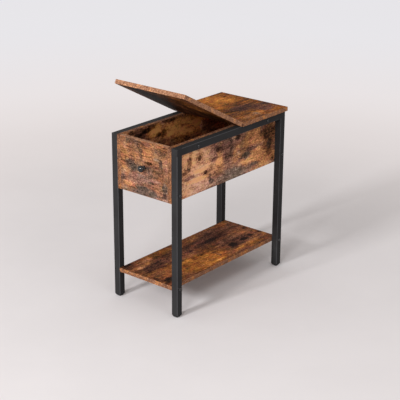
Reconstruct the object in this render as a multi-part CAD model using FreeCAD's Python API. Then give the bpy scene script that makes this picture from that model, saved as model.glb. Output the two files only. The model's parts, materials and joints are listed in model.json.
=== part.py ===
import FreeCAD, Part
import math
import os

# Lift top end table. A narrow box of 15 mm rustic-wood boards hangs between two welded steel side
# frames. The front part of its top is a lid on two butt hinges, the back part is fixed, and an open
# shelf ties the legs together near the floor.
#
# Millimetres and degrees. +Z is up and +X is the right-hand side of someone who faces the knob, which
# is at the front, -Y. The origin lies on the floor under the middle of the whole table's box, from
# the face of the knob to the back edge of the top.

# ---- Driving dimensions: the whole table
TOP_LENGTH = 600.0
TOP_WIDTH = 300.0
TABLE_HEIGHT = 610.0
TOP_OVERHANG = 6.0

# ---- Driving dimensions: stock
BOARD = 15.0
BOARD_EDGE_RADIUS = 0.6
TUBE = 25.0
TUBE_WALL = 1.2
TUBE_CORNER_RADIUS = 2.0

# ---- Driving dimensions: box, shelf and split top
BOX_HEIGHT = 190.0
SHELF_TOP = 111.0
LID_LENGTH = 340.0
LID_OPEN_ANGLE = 28.0

# ---- Driving dimensions: hinges
HINGE_LENGTH = 38.0
HINGE_INSET = 60.0
LEAF_THICKNESS = 1.0
LEAF_GAP = 1.0
LEAF_EDGE_MARGIN = 2.0
KNUCKLE_COUNT = 5
KNUCKLE_WALL = 1.05
KNUCKLE_GAP = 0.3
PIN_RADIUS = 1.0
PIN_CLEARANCE = 0.05
PIN_HEAD_RIM = 0.7
PIN_HEAD_THICKNESS = 0.6
LEAF_SCREW_RADIUS = 1.4
LEAF_SCREW_HEAD_RADIUS = 2.5
LEAF_SCREW_LENGTH = 16.0
LEAF_SCREW_SPACING = 20.0

# ---- Driving dimensions: feet
FOOT_HEIGHT = 9.0
FOOT_TAPER_HEIGHT = 7.5
FOOT_TAPER_INSET = 4.5
FOOT_PLUG_DEPTH = 18.0
FOOT_PLUG_WALL = 2.5
FOOT_PLUG_CLEARANCE = 0.1
FOOT_CORNER_RADIUS = 1.0

# ---- Driving dimensions: knob
KNOB_REACH = 25.0
KNOB_DROP = 92.0
KNOB_RADIUS = 12.0
KNOB_RIM_HEIGHT = 15.5
KNOB_HEAD_START = 10.5
KNOB_BASE_RADIUS = 8.0
KNOB_BASE_HEIGHT = 2.5
KNOB_NECK_RADIUS = 4.6
KNOB_SCREW_RADIUS = 2.0
KNOB_SCREW_HEAD_RADIUS = 4.0
KNOB_SCREW_HEAD_HEIGHT = 2.4
KNOB_SCREW_HEAD_ROUND = 0.8
KNOB_SCREW_ENGAGEMENT = 10.0
KNOB_BORE_SPARE = 2.0

# ---- Driving dimensions: frame bolts and their inserts
BOLT_RADIUS = 3.0
BOLT_HEAD_RADIUS = 5.0
BOLT_HEAD_HEIGHT = 3.0
BOLT_HEAD_ROUND = 2.3
BOLT_SOCKET_WIDTH = 4.0
BOLT_SOCKET_DEPTH = 1.8
LEG_BOLT_RISE = 31.0
RAIL_BOLT_SETBACK = 105.0
INSERT_WALL = 1.5
INSERT_FLOOR = 3.0
INSERT_SPARE = 2.0

# ---- Driving dimensions: box joints
CAM_RADIUS = 7.5
CAM_FLOOR = 3.0
CAM_SETBACK = 24.0
CAM_EDGE_INSET = 55.0
CAM_SLOT_LENGTH = 7.0
CAM_SLOT_WIDTH = 1.2
FLOOR_CAM_INSET = 140.0
CAM_BOLT_RADIUS = 2.5
CAM_BOLT_COLLAR_RADIUS = 3.5
CAM_BOLT_COLLAR = 2.0
ANCHOR_FLOOR = 5.0
DOWEL_RADIUS = 4.0
DOWEL_LENGTH = 30.0

# ---- Driving dimensions: top screws and rail plugs
TOP_SCREW_RADIUS = 2.2
TOP_SCREW_HEAD_RADIUS = 4.5
TOP_SCREW_HEAD_HEIGHT = 2.5
TOP_SCREW_FLOOR = 4.0
TOP_SCREW_INSET = 50.0
PLUG_RADIUS = 3.5
PLUG_BARB_RIM = 0.7
PLUG_BARB_HEIGHT = 1.5
PLUG_OFFSET = 21.0

# ---- Clearances
BOLT_HOLE_CLEARANCE = 0.3
FITTING_CLEARANCE = 0.05

# ---- Places that follow from the sizes above
FRAME_WIDTH = TOP_WIDTH - 2 * TOP_OVERHANG
FRAME_LENGTH = TOP_LENGTH - 2 * TOP_OVERHANG
FRAME_TOP = TABLE_HEIGHT - BOARD
OVERALL_LENGTH = KNOB_REACH + FRAME_LENGTH + TOP_OVERHANG
FRONT_Y = KNOB_REACH - OVERALL_LENGTH / 2
BACK_Y = FRONT_Y + FRAME_LENGTH
MIDDLE_Y = (FRONT_Y + BACK_Y) / 2
TOP_FRONT_Y = FRONT_Y - TOP_OVERHANG
TOP_BACK_Y = BACK_Y + TOP_OVERHANG
OUTER_X = FRAME_WIDTH / 2
INNER_X = OUTER_X - TUBE
COMPARTMENT_X = INNER_X - BOARD
TUBE_CENTRE_X = OUTER_X - TUBE / 2
BOX_BOTTOM = FRAME_TOP - BOX_HEIGHT
SEAM_GAP = 2 * LEAF_THICKNESS + LEAF_GAP
KNUCKLE_RADIUS = PIN_RADIUS + PIN_CLEARANCE + KNUCKLE_WALL
LID_END_Y = TOP_FRONT_Y + LID_LENGTH
FIXED_START_Y = LID_END_Y + SEAM_GAP
PIVOT_Y = LID_END_Y + SEAM_GAP / 2
PIVOT_Z = TABLE_HEIGHT + KNUCKLE_RADIUS
SHELF_BOLT_Z = SHELF_TOP - BOARD / 2
LEG_BOLT_Z = BOX_BOTTOM + LEG_BOLT_RISE
RAIL_BOLT_Z = FRAME_TOP - TUBE / 2
INSERT_RADIUS = BOLT_RADIUS + INSERT_WALL
INSERT_LENGTH = BOARD - INSERT_FLOOR
BOLT_ENGAGEMENT = INSERT_LENGTH - INSERT_SPARE
CAM_DEPTH = BOARD - CAM_FLOOR
ANCHOR_DEPTH = BOARD - ANCHOR_FLOOR
TOP_SCREW_BITE = BOARD - TOP_SCREW_FLOOR
LEAF_BOTTOM_Z = FRAME_TOP + LEAF_EDGE_MARGIN
LEAF_SCREW_Z = (LEAF_BOTTOM_Z + TABLE_HEIGHT) / 2
KNOB_Z = FRAME_TOP - KNOB_DROP
PLUG_Y = MIDDLE_Y - PLUG_OFFSET
CAM_HEIGHTS = [BOX_BOTTOM + CAM_EDGE_INSET, FRAME_TOP - CAM_EDGE_INSET]
FLOOR_MIDDLE_Z = BOX_BOTTOM + BOARD / 2

X_AXIS = FreeCAD.Vector(1, 0, 0)
Y_AXIS = FreeCAD.Vector(0, 1, 0)
Z_AXIS = FreeCAD.Vector(0, 0, 1)
SIDES = {"left": -1, "right": 1}
ENDS = {"front": -1, "back": 1}


# ---- Helpers
def point(x, y, z):
    return FreeCAD.Vector(x, y, z)


def rod(radius, start, end):
    """A round bar from one point to another."""
    return Part.makeCylinder(radius, (end - start).Length, start, end - start)


def cone(start_radius, end_radius, start, end):
    """A tapered bar from one point to another."""
    return Part.makeCone(start_radius, end_radius, (end - start).Length, start, end - start)


def block(low, high):
    """A plain box between two opposite corners."""
    return Part.makeBox(high.x - low.x, high.y - low.y, high.z - low.z, low)


def board(low, high):
    """A panel with its edges just broken."""
    panel = block(low, high)
    return panel.makeFillet(BOARD_EDGE_RADIUS, panel.Edges)


def square_wire(width, corner_radius, z):
    """A square with round corners about the Z axis."""
    half = width / 2
    flat = half - corner_radius
    middle = flat + corner_radius * math.cos(math.radians(45))
    edges = []
    for turn in range(4):
        run = Part.makeLine(point(half, -flat, z), point(half, flat, z))
        arc = Part.Arc(point(half, flat, z), point(middle, middle, z), point(flat, half, z)).toShape()
        for edge in (run, arc):
            edge.rotate(point(0, 0, 0), Z_AXIS, 90 * turn)
            edges.append(edge)
    return Part.Wire(edges)


def square_bar(width, corner_radius, bottom, top):
    """An upright square bar with round corners about the Z axis."""
    face = Part.Face(square_wire(width, corner_radius, bottom))
    return face.extrude(point(0, 0, top - bottom))


def square_tube(bottom, top):
    """An upright length of the frame's tube about the Z axis."""
    inner_radius = max(TUBE_CORNER_RADIUS - TUBE_WALL, TUBE_WALL / 4)
    outside = square_bar(TUBE, TUBE_CORNER_RADIUS, bottom, top)
    return outside.cut(square_bar(TUBE - 2 * TUBE_WALL, inner_radius, bottom, top))


def mitre_waste(end, above):
    """The prism that a saw at 45 degrees takes off a leg's top (above) or off a rail's end."""
    reach = 2 * TUBE
    corner_y = FRONT_Y if end < 0 else BACK_Y
    outer = point(-reach, corner_y + end * reach, FRAME_TOP + reach)
    inner = point(-reach, corner_y - end * reach, FRAME_TOP - reach)
    third = point(-reach, inner.y, outer.z) if above else point(-reach, outer.y, inner.z)
    face = Part.Face(Part.makePolygon([outer, inner, third, outer]))
    return face.extrude(point(2 * reach, 0, 0))


def leg_centre_y(end):
    return FRONT_Y + TUBE / 2 if end < 0 else BACK_Y - TUBE / 2


def end_board_middle_y(end):
    """The middle of the front or back panel's thickness."""
    return FRONT_Y + BOARD / 2 if end < 0 else BACK_Y - BOARD / 2


# ---- Places of the fasteners
def leg_bolt_places():
    """Bolts through the legs into the side panels: (y, z) on both sides."""
    return [(leg_centre_y(end), LEG_BOLT_Z) for end in ENDS.values()]


def rail_bolt_places():
    """Bolts through the rails into the side panels: (y, z) on both sides."""
    return [(FRONT_Y + RAIL_BOLT_SETBACK, RAIL_BOLT_Z), (BACK_Y - RAIL_BOLT_SETBACK, RAIL_BOLT_Z)]


def shelf_bolt_places():
    """Bolts through the legs into the shelf's edges: (y, z) on both sides."""
    return [(leg_centre_y(end), SHELF_BOLT_Z) for end in ENDS.values()]


def top_screw_places():
    """Screws up through the rails into the fixed top: y on both sides."""
    return [FIXED_START_Y + TOP_SCREW_INSET, BACK_Y - TOP_SCREW_INSET]


def hinge_centre_x(side):
    return side * (TOP_WIDTH / 2 - HINGE_INSET)


def leaf_screw_places():
    """Where the screws of both hinges sit along X."""
    return [
        hinge_centre_x(side) + step * LEAF_SCREW_SPACING / 2
        for side in SIDES.values()
        for step in (-1, 1)
    ]


# ---- Side frames
def leg(side, end):
    """An upright tube, mitred at the top, with holes for the shelf bolt and the panel bolt."""
    tube = square_tube(FOOT_HEIGHT, FRAME_TOP)
    tube.translate(point(side * TUBE_CENTRE_X, leg_centre_y(end), 0))
    waste = mitre_waste(end, above=True)
    waste.translate(point(side * TUBE_CENTRE_X, 0, 0))
    tube = tube.cut(waste)
    for y, z in shelf_bolt_places() + leg_bolt_places():
        tube = tube.cut(bolt_hole(side, y, z))
    return tube


def top_rail(side):
    """The tube along the top of a side frame, mitred at both ends."""
    tube = square_tube(FRONT_Y, BACK_Y)
    tube.rotate(point(0, 0, 0), X_AXIS, -90)
    tube.translate(point(side * TUBE_CENTRE_X, 0, FRAME_TOP - TUBE / 2))
    for end in ENDS.values():
        waste = mitre_waste(end, above=False)
        waste.translate(point(side * TUBE_CENTRE_X, 0, 0))
        tube = tube.cut(waste)
    for y, z in rail_bolt_places():
        tube = tube.cut(bolt_hole(side, y, z))
    for y in top_screw_places():
        bottom = point(side * TUBE_CENTRE_X, y, FRAME_TOP - 2 * TUBE)
        tube = tube.cut(rod(TOP_SCREW_RADIUS + BOLT_HOLE_CLEARANCE, bottom, bottom + Z_AXIS * 3 * TUBE))
    plug_bottom = point(side * TUBE_CENTRE_X, PLUG_Y, RAIL_BOLT_Z)
    return tube.cut(rod(PLUG_RADIUS + FITTING_CLEARANCE, plug_bottom, plug_bottom + Z_AXIS * TUBE))


def bolt_hole(side, y, z):
    """A hole through both walls of a tube, along X."""
    return rod(
        BOLT_RADIUS + BOLT_HOLE_CLEARANCE,
        point(side * (INNER_X - TUBE), y, z),
        point(side * (OUTER_X + TUBE), y, z),
    )


def foot(side, end):
    """A black plastic glide: a tapered cap under the tube and a hollow plug pressed into it."""
    floor_size = TUBE - 2 * FOOT_TAPER_INSET
    taper = Part.makeLoft(
        [
            square_wire(floor_size, FOOT_CORNER_RADIUS, 0),
            square_wire(TUBE, TUBE_CORNER_RADIUS, FOOT_TAPER_HEIGHT),
        ],
        True,
        True,
    )
    cap = taper.fuse(square_bar(TUBE, TUBE_CORNER_RADIUS, FOOT_TAPER_HEIGHT, FOOT_HEIGHT))
    plug_size = TUBE - 2 * TUBE_WALL - 2 * FOOT_PLUG_CLEARANCE
    plug_top = FOOT_HEIGHT + FOOT_PLUG_DEPTH
    plug = square_bar(plug_size, FOOT_CORNER_RADIUS, FOOT_HEIGHT, plug_top)
    hollow_size = plug_size - 2 * FOOT_PLUG_WALL
    hollow = square_bar(hollow_size, FOOT_CORNER_RADIUS, FOOT_HEIGHT, plug_top)
    glide = cap.fuse(plug.cut(hollow)).removeSplitter()
    glide.translate(point(side * TUBE_CENTRE_X, leg_centre_y(end), 0))
    return glide


def rail_plugs():
    """Snap-in caps for the hole in the top of each rail, flush so that the lid lies flat on it."""
    plugs = []
    wall_underside = FRAME_TOP - TUBE_WALL
    for side in SIDES.values():
        barb_top = point(side * TUBE_CENTRE_X, PLUG_Y, wall_underside)
        face = rod(PLUG_RADIUS, barb_top, barb_top + Z_AXIS * (TUBE_WALL - FITTING_CLEARANCE))
        barb = rod(PLUG_RADIUS + PLUG_BARB_RIM, barb_top - Z_AXIS * PLUG_BARB_HEIGHT, barb_top)
        plugs.append(face.fuse(barb).removeSplitter())
    return Part.makeCompound(plugs)


# ---- Box
def side_panel(side):
    """A long side of the box, against the inner faces of the legs and the rail."""
    low_x, high_x = sorted((side * COMPARTMENT_X, side * INNER_X))
    panel = board(point(low_x, FRONT_Y, BOX_BOTTOM), point(high_x, BACK_Y, FRAME_TOP))
    for y, z in leg_bolt_places() + rail_bolt_places():
        panel = panel.cut(insert_hole(side, y, z))
    for y, z in cam_bolt_places():
        anchor = point(side * COMPARTMENT_X, y, z)
        panel = panel.cut(
            rod(CAM_BOLT_RADIUS + FITTING_CLEARANCE, anchor, anchor + X_AXIS * side * ANCHOR_DEPTH)
        )
    for y, z in dowel_places():
        anchor = point(side * COMPARTMENT_X, y, z)
        panel = panel.cut(
            rod(DOWEL_RADIUS + FITTING_CLEARANCE, anchor, anchor + X_AXIS * side * ANCHOR_DEPTH)
        )
    return panel


def insert_hole(side, y, z):
    """A blind hole for a threaded insert, in a board whose outer face is at INNER_X."""
    mouth = point(side * INNER_X, y, z)
    return rod(INSERT_RADIUS + FITTING_CLEARANCE, mouth, mouth - X_AXIS * side * INSERT_LENGTH)


def cam_bolt_places():
    """Cam bolts on each side: (y, z), first the four of the end panels, then the two of the floor."""
    ends = [(end_board_middle_y(end), z) for end in ENDS.values() for z in CAM_HEIGHTS]
    floor = [(y, FLOOR_MIDDLE_Z) for y in (FRONT_Y + FLOOR_CAM_INSET, BACK_Y - FLOOR_CAM_INSET)]
    return ends + floor


def dowel_places():
    """Dowels on each side: (y, z), one at each end panel and one at the floor."""
    middle_z = sum(CAM_HEIGHTS) / 2
    ends = [(end_board_middle_y(end), middle_z) for end in ENDS.values()]
    return ends + [(MIDDLE_Y, FLOOR_MIDDLE_Z)]


def joint_bores(panel, places, mouth_direction):
    """Cuts the cam pockets and bolt bores of a panel that stands between the side panels."""
    for side in SIDES.values():
        for y, z in places:
            edge = point(side * COMPARTMENT_X, y, z)
            cam = edge - X_AXIS * side * CAM_SETBACK
            mouth = cam + mouth_direction * (BOARD / 2)
            panel = panel.cut(rod(CAM_RADIUS + FITTING_CLEARANCE, mouth, mouth - mouth_direction * CAM_DEPTH))
            panel = panel.cut(rod(CAM_BOLT_COLLAR_RADIUS + FITTING_CLEARANCE, edge, cam))
    return panel


def dowel_bores(panel, places):
    for side in SIDES.values():
        for y, z in places:
            edge = point(side * COMPARTMENT_X, y, z)
            inner = edge - X_AXIS * side * (DOWEL_LENGTH - ANCHOR_DEPTH)
            panel = panel.cut(rod(DOWEL_RADIUS + FITTING_CLEARANCE, edge, inner))
    return panel


def end_panel(end):
    """The front or back of the box, between the side panels and flush with their ends."""
    outer_y, inner_y = (FRONT_Y, FRONT_Y + BOARD) if end < 0 else (BACK_Y, BACK_Y - BOARD)
    low_y, high_y = sorted((outer_y, inner_y))
    panel = board(point(-COMPARTMENT_X, low_y, BOX_BOTTOM), point(COMPARTMENT_X, high_y, FRAME_TOP))
    middle_y = end_board_middle_y(end)
    panel = joint_bores(panel, [p for p in cam_bolt_places() if p[0] == middle_y], Y_AXIS * -end)
    return dowel_bores(panel, [p for p in dowel_places() if p[0] == middle_y])


def front_panel():
    """The front of the box, with the hole for the knob's screw."""
    panel = end_panel(ENDS["front"])
    start = point(0, FRONT_Y - BOARD, KNOB_Z)
    hole = rod(KNOB_SCREW_RADIUS + BOLT_HOLE_CLEARANCE, start, start + Y_AXIS * 3 * BOARD)
    return panel.cut(hole)


def compartment_floor():
    """The bottom of the box, between the four walls, with its cam pockets underneath."""
    low = point(-COMPARTMENT_X, FRONT_Y + BOARD, BOX_BOTTOM)
    high = point(COMPARTMENT_X, BACK_Y - BOARD, BOX_BOTTOM + BOARD)
    panel = board(low, high)
    panel = joint_bores(panel, [p for p in cam_bolt_places() if p[1] == FLOOR_MIDDLE_Z], -Z_AXIS)
    return dowel_bores(panel, [p for p in dowel_places() if p[1] == FLOOR_MIDDLE_Z])


def cam_direction(z):
    """Which way a cam's screwdriver slot faces."""
    return -Z_AXIS if z == FLOOR_MIDDLE_Z else None


def each_cam():
    """Every cam joint: its side, the bolt's place at the side panel's face, and the cam's mouth way."""
    for side in SIDES.values():
        for y, z in cam_bolt_places():
            edge = point(side * COMPARTMENT_X, y, z)
            inward = Y_AXIS if y < MIDDLE_Y else -Y_AXIS
            yield side, edge, cam_direction(z) or inward


def cam_locks():
    """Cam discs, each with a bore for its bolt's head and a screwdriver slot."""
    cams = []
    for side, edge, mouth_direction in each_cam():
        centre = edge - X_AXIS * side * CAM_SETBACK
        mouth = centre + mouth_direction * (BOARD / 2)
        cam = rod(CAM_RADIUS, mouth, mouth - mouth_direction * CAM_DEPTH)
        cam = cam.cut(rod(CAM_BOLT_COLLAR_RADIUS, centre, centre + X_AXIS * side * 2 * CAM_RADIUS))
        corner = point(CAM_SLOT_LENGTH / 2, CAM_SLOT_WIDTH / 2, CAM_SLOT_WIDTH / 2)
        slot = block(-corner, corner)
        slot.translate(mouth)
        cams.append(cam.cut(slot))
    return Part.makeCompound(cams)


def cam_bolts():
    """Bolts screwed into the side panels, whose heads the cams pull in."""
    bolts = []
    for side, edge, _ in each_cam():
        outward = X_AXIS * side
        shank = rod(CAM_BOLT_RADIUS, edge + outward * ANCHOR_DEPTH, edge - outward * CAM_SETBACK)
        collar = rod(CAM_BOLT_COLLAR_RADIUS, edge, edge - outward * CAM_BOLT_COLLAR)
        bolts.append(shank.fuse(collar).removeSplitter())
    return Part.makeCompound(bolts)


def dowels():
    """Beech dowels that line up the box's corners."""
    pins = []
    for side in SIDES.values():
        for y, z in dowel_places():
            start = point(side * (COMPARTMENT_X + ANCHOR_DEPTH), y, z)
            pins.append(rod(DOWEL_RADIUS, start, start - X_AXIS * side * DOWEL_LENGTH))
    return Part.makeCompound(pins)


# ---- Shelf and tops
def lower_shelf():
    """The open shelf between the legs, bolted through its long edges."""
    shelf = board(point(-INNER_X, FRONT_Y, SHELF_TOP - BOARD), point(INNER_X, BACK_Y, SHELF_TOP))
    for side in SIDES.values():
        for y, z in shelf_bolt_places():
            shelf = shelf.cut(insert_hole(side, y, z))
    return shelf


def leaf_screw_hole(x, face_y, direction):
    """A hole in a board's end for one hinge screw, with room for the head's cone."""
    clear = FITTING_CLEARANCE
    start = point(x, face_y, LEAF_SCREW_Z)
    shaft = rod(LEAF_SCREW_RADIUS + clear, start, start + Y_AXIS * direction * LEAF_SCREW_LENGTH)
    head_depth = LEAF_SCREW_HEAD_RADIUS - LEAF_SCREW_RADIUS
    sunk = start - Y_AXIS * direction * LEAF_THICKNESS
    head_end = sunk + Y_AXIS * direction * head_depth
    head = cone(LEAF_SCREW_HEAD_RADIUS + clear, LEAF_SCREW_RADIUS + clear, sunk, head_end)
    return shaft.fuse(head)


def fixed_top():
    """The back part of the top, screwed down on the rails."""
    low = point(-TOP_WIDTH / 2, FIXED_START_Y, FRAME_TOP)
    top = board(low, point(TOP_WIDTH / 2, TOP_BACK_Y, TABLE_HEIGHT))
    for x in leaf_screw_places():
        top = top.cut(leaf_screw_hole(x, FIXED_START_Y, 1))
    for side in SIDES.values():
        for y in top_screw_places():
            start = point(side * TUBE_CENTRE_X, y, FRAME_TOP)
            top = top.cut(rod(TOP_SCREW_RADIUS + FITTING_CLEARANCE, start, start + Z_AXIS * TOP_SCREW_BITE))
    return top


def opened(shape):
    """Turns what rides on the lid from its closed place to the stored, part-open one."""
    shape.rotate(point(0, PIVOT_Y, PIVOT_Z), -X_AXIS, LID_OPEN_ANGLE)
    return shape


def lid_panel():
    """The front part of the top, which lifts."""
    lid = board(
        point(-TOP_WIDTH / 2, TOP_FRONT_Y, FRAME_TOP), point(TOP_WIDTH / 2, LID_END_Y, TABLE_HEIGHT)
    )
    for x in leaf_screw_places():
        lid = lid.cut(leaf_screw_hole(x, LID_END_Y, -1))
    return opened(lid)


def top_screws():
    """Long pan-head screws from under the rails into the fixed top."""
    screws = []
    for side in SIDES.values():
        for y in top_screw_places():
            seat = point(side * TUBE_CENTRE_X, y, FRAME_TOP - TUBE)
            shank = rod(TOP_SCREW_RADIUS, seat, seat + Z_AXIS * (TUBE + TOP_SCREW_BITE))
            head = rod(TOP_SCREW_HEAD_RADIUS, seat - Z_AXIS * TOP_SCREW_HEAD_HEIGHT, seat)
            screws.append(shank.fuse(head).removeSplitter())
    return Part.makeCompound(screws)


# ---- Hinges
def hinge_leaf(side, direction, first_knuckle):
    """A leaf on a board's end face, rolled round the pin at every second knuckle.

    direction is the way from the pivot to the leaf's board along Y: 1 for the fixed top, -1 for the
    lid. first_knuckle is 0 for the leaf with the outer knuckles and 1 for the other.
    """
    low_x = hinge_centre_x(side) - HINGE_LENGTH / 2
    pitch = HINGE_LENGTH / KNUCKLE_COUNT
    board_face = PIVOT_Y + direction * SEAM_GAP / 2
    low_y, high_y = sorted((board_face, board_face - direction * LEAF_THICKNESS))
    plate = block(
        point(low_x, low_y, LEAF_BOTTOM_Z),
        point(low_x + HINGE_LENGTH, high_y, PIVOT_Z - KNUCKLE_RADIUS - KNUCKLE_GAP),
    )
    for index in range(first_knuckle, KNUCKLE_COUNT, 2):
        start_x = low_x + index * pitch + (KNUCKLE_GAP / 2 if index > 0 else 0)
        end_x = low_x + (index + 1) * pitch - (KNUCKLE_GAP / 2 if index < KNUCKLE_COUNT - 1 else 0)
        barrel = rod(KNUCKLE_RADIUS, point(start_x, PIVOT_Y, PIVOT_Z), point(end_x, PIVOT_Y, PIVOT_Z))
        neck = block(point(start_x, low_y, LEAF_BOTTOM_Z), point(end_x, high_y, PIVOT_Z))
        plate = plate.fuse(neck).fuse(barrel)
    start = point(low_x - HINGE_LENGTH, PIVOT_Y, PIVOT_Z)
    bore = rod(PIN_RADIUS + PIN_CLEARANCE, start, start + X_AXIS * 3 * HINGE_LENGTH)
    leaf = plate.cut(bore)
    for x in leaf_screw_places():
        leaf = leaf.cut(leaf_screw_hole(x, board_face, direction))
    return leaf.removeSplitter()


def hinge_pin(side):
    """The pin, tight in the knuckles, with a peened head at each end."""
    low = point(hinge_centre_x(side) - HINGE_LENGTH / 2, PIVOT_Y, PIVOT_Z)
    high = low + X_AXIS * HINGE_LENGTH
    head = X_AXIS * PIN_HEAD_THICKNESS
    pin = rod(PIN_RADIUS, low, high)
    head_radius = PIN_RADIUS + PIN_HEAD_RIM
    pin = pin.fuse(rod(head_radius, low - head, low))
    return pin.fuse(rod(head_radius, high, high + head)).removeSplitter()


def hinge_screws(direction):
    """Countersunk screws, flush with the leaf, that run into a board's end."""
    screws = []
    head_depth = LEAF_SCREW_HEAD_RADIUS - LEAF_SCREW_RADIUS
    leaf_face = PIVOT_Y + direction * (SEAM_GAP / 2 - LEAF_THICKNESS)
    way = Y_AXIS * direction
    for x in leaf_screw_places():
        seat = point(x, leaf_face, LEAF_SCREW_Z)
        tip = seat + way * (LEAF_SCREW_LENGTH - LEAF_SCREW_RADIUS)
        head = cone(LEAF_SCREW_HEAD_RADIUS, LEAF_SCREW_RADIUS, seat, seat + way * head_depth)
        shank = rod(LEAF_SCREW_RADIUS, seat + way * head_depth, tip)
        nose = cone(LEAF_SCREW_RADIUS, LEAF_SCREW_RADIUS / 4, tip, tip + way * LEAF_SCREW_RADIUS)
        screws.append(head.fuse(shank).fuse(nose).removeSplitter())
    return Part.makeCompound(screws)


# ---- Knob
def knob():
    """A turned mushroom knob: a base ring, a waisted neck and a domed head."""

    def at(radius, height):
        return point(radius, 0, height)

    under_round = KNOB_RIM_HEIGHT - KNOB_HEAD_START
    under_radius = KNOB_RADIUS - under_round
    diagonal = under_round * math.sin(math.radians(45))
    dome_height = KNOB_REACH - KNOB_RIM_HEIGHT
    dome_radius = (KNOB_RADIUS**2 + dome_height**2) / (2 * dome_height)
    half_angle = math.atan2(dome_height, KNOB_RADIUS)
    dome_middle = at(
        dome_radius * math.sin(half_angle), KNOB_REACH - dome_radius * (1 - math.cos(half_angle))
    )
    rim = at(KNOB_RADIUS, KNOB_RIM_HEIGHT)
    neck_top = at(under_radius, KNOB_HEAD_START)
    neck_middle = at(KNOB_NECK_RADIUS, (KNOB_BASE_HEIGHT + KNOB_HEAD_START) / 2)
    base_top = at(KNOB_BASE_RADIUS, KNOB_BASE_HEIGHT)
    outline = [
        Part.makeLine(at(0, 0), at(KNOB_BASE_RADIUS, 0)),
        Part.makeLine(at(KNOB_BASE_RADIUS, 0), base_top),
        Part.Arc(base_top, neck_middle, neck_top).toShape(),
        Part.Arc(neck_top, at(under_radius + diagonal, KNOB_RIM_HEIGHT - diagonal), rim).toShape(),
        Part.Arc(rim, dome_middle, at(0, KNOB_REACH)).toShape(),
        Part.makeLine(at(0, KNOB_REACH), at(0, 0)),
    ]
    turned = Part.Face(Part.Wire(outline)).revolve(at(0, 0), Z_AXIS, 360)
    bore_end = at(0, KNOB_SCREW_ENGAGEMENT + KNOB_BORE_SPARE)
    turned = turned.cut(rod(KNOB_SCREW_RADIUS + FITTING_CLEARANCE, at(0, 0), bore_end))
    turned.rotate(at(0, 0), X_AXIS, 90)
    turned.translate(point(0, FRONT_Y, KNOB_Z))
    return turned


def knob_screw():
    """The machine screw that holds the knob from inside the box."""
    seat = point(0, FRONT_Y + BOARD, KNOB_Z)
    head = rod(KNOB_SCREW_HEAD_RADIUS, seat, seat + Y_AXIS * KNOB_SCREW_HEAD_HEIGHT)
    middle_y = seat.y + KNOB_SCREW_HEAD_HEIGHT / 2
    rim = [e for e in head.Edges if e.Closed and e.BoundBox.YMin > middle_y]
    head = head.makeFillet(KNOB_SCREW_HEAD_ROUND, rim)
    shank = rod(KNOB_SCREW_RADIUS, seat, seat - Y_AXIS * (BOARD + KNOB_SCREW_ENGAGEMENT))
    return head.fuse(shank).removeSplitter()


# ---- Frame bolts and inserts
def frame_bolt(side, y, z):
    """A button-head bolt through a tube, with a hexagon socket."""
    seat = point(side * OUTER_X, y, z)
    outward = X_AXIS * side
    shank = rod(BOLT_RADIUS, seat, seat - outward * (TUBE + BOLT_ENGAGEMENT))
    dome = button_head()
    dome.rotate(point(0, 0, 0), Y_AXIS, 90 * side)
    dome.translate(seat)
    return dome.fuse(shank).removeSplitter()


def button_head():
    """A low dome on the Z axis, its underside at z 0, with a hexagon socket in its top."""
    dome = rod(BOLT_HEAD_RADIUS, point(0, 0, 0), point(0, 0, BOLT_HEAD_HEIGHT))
    rim = [e for e in dome.Edges if e.Closed and e.BoundBox.ZMin > BOLT_HEAD_HEIGHT / 2]
    dome = dome.makeFillet(BOLT_HEAD_ROUND, rim)
    corner = BOLT_SOCKET_WIDTH / 2 / math.cos(math.radians(30))
    floor_z = BOLT_HEAD_HEIGHT - BOLT_SOCKET_DEPTH
    corners = [
        point(corner * math.cos(math.radians(60 * n)), corner * math.sin(math.radians(60 * n)), floor_z)
        for n in range(7)
    ]
    socket = Part.Face(Part.makePolygon(corners)).extrude(point(0, 0, BOLT_HEAD_HEIGHT))
    return dome.cut(socket)


def threaded_insert(side, y, z):
    """A steel sleeve nut, flush in the board's outer face, with a bore for the bolt's thread."""
    mouth = point(side * INNER_X, y, z)
    end = mouth - X_AXIS * side * INSERT_LENGTH
    return rod(INSERT_RADIUS, mouth, end).cut(rod(BOLT_RADIUS + FITTING_CLEARANCE, mouth, end))


def at_places(make, places):
    """One group of the same fastener, on both sides."""
    return Part.makeCompound([make(side, y, z) for side in SIDES.values() for y, z in places])


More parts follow.
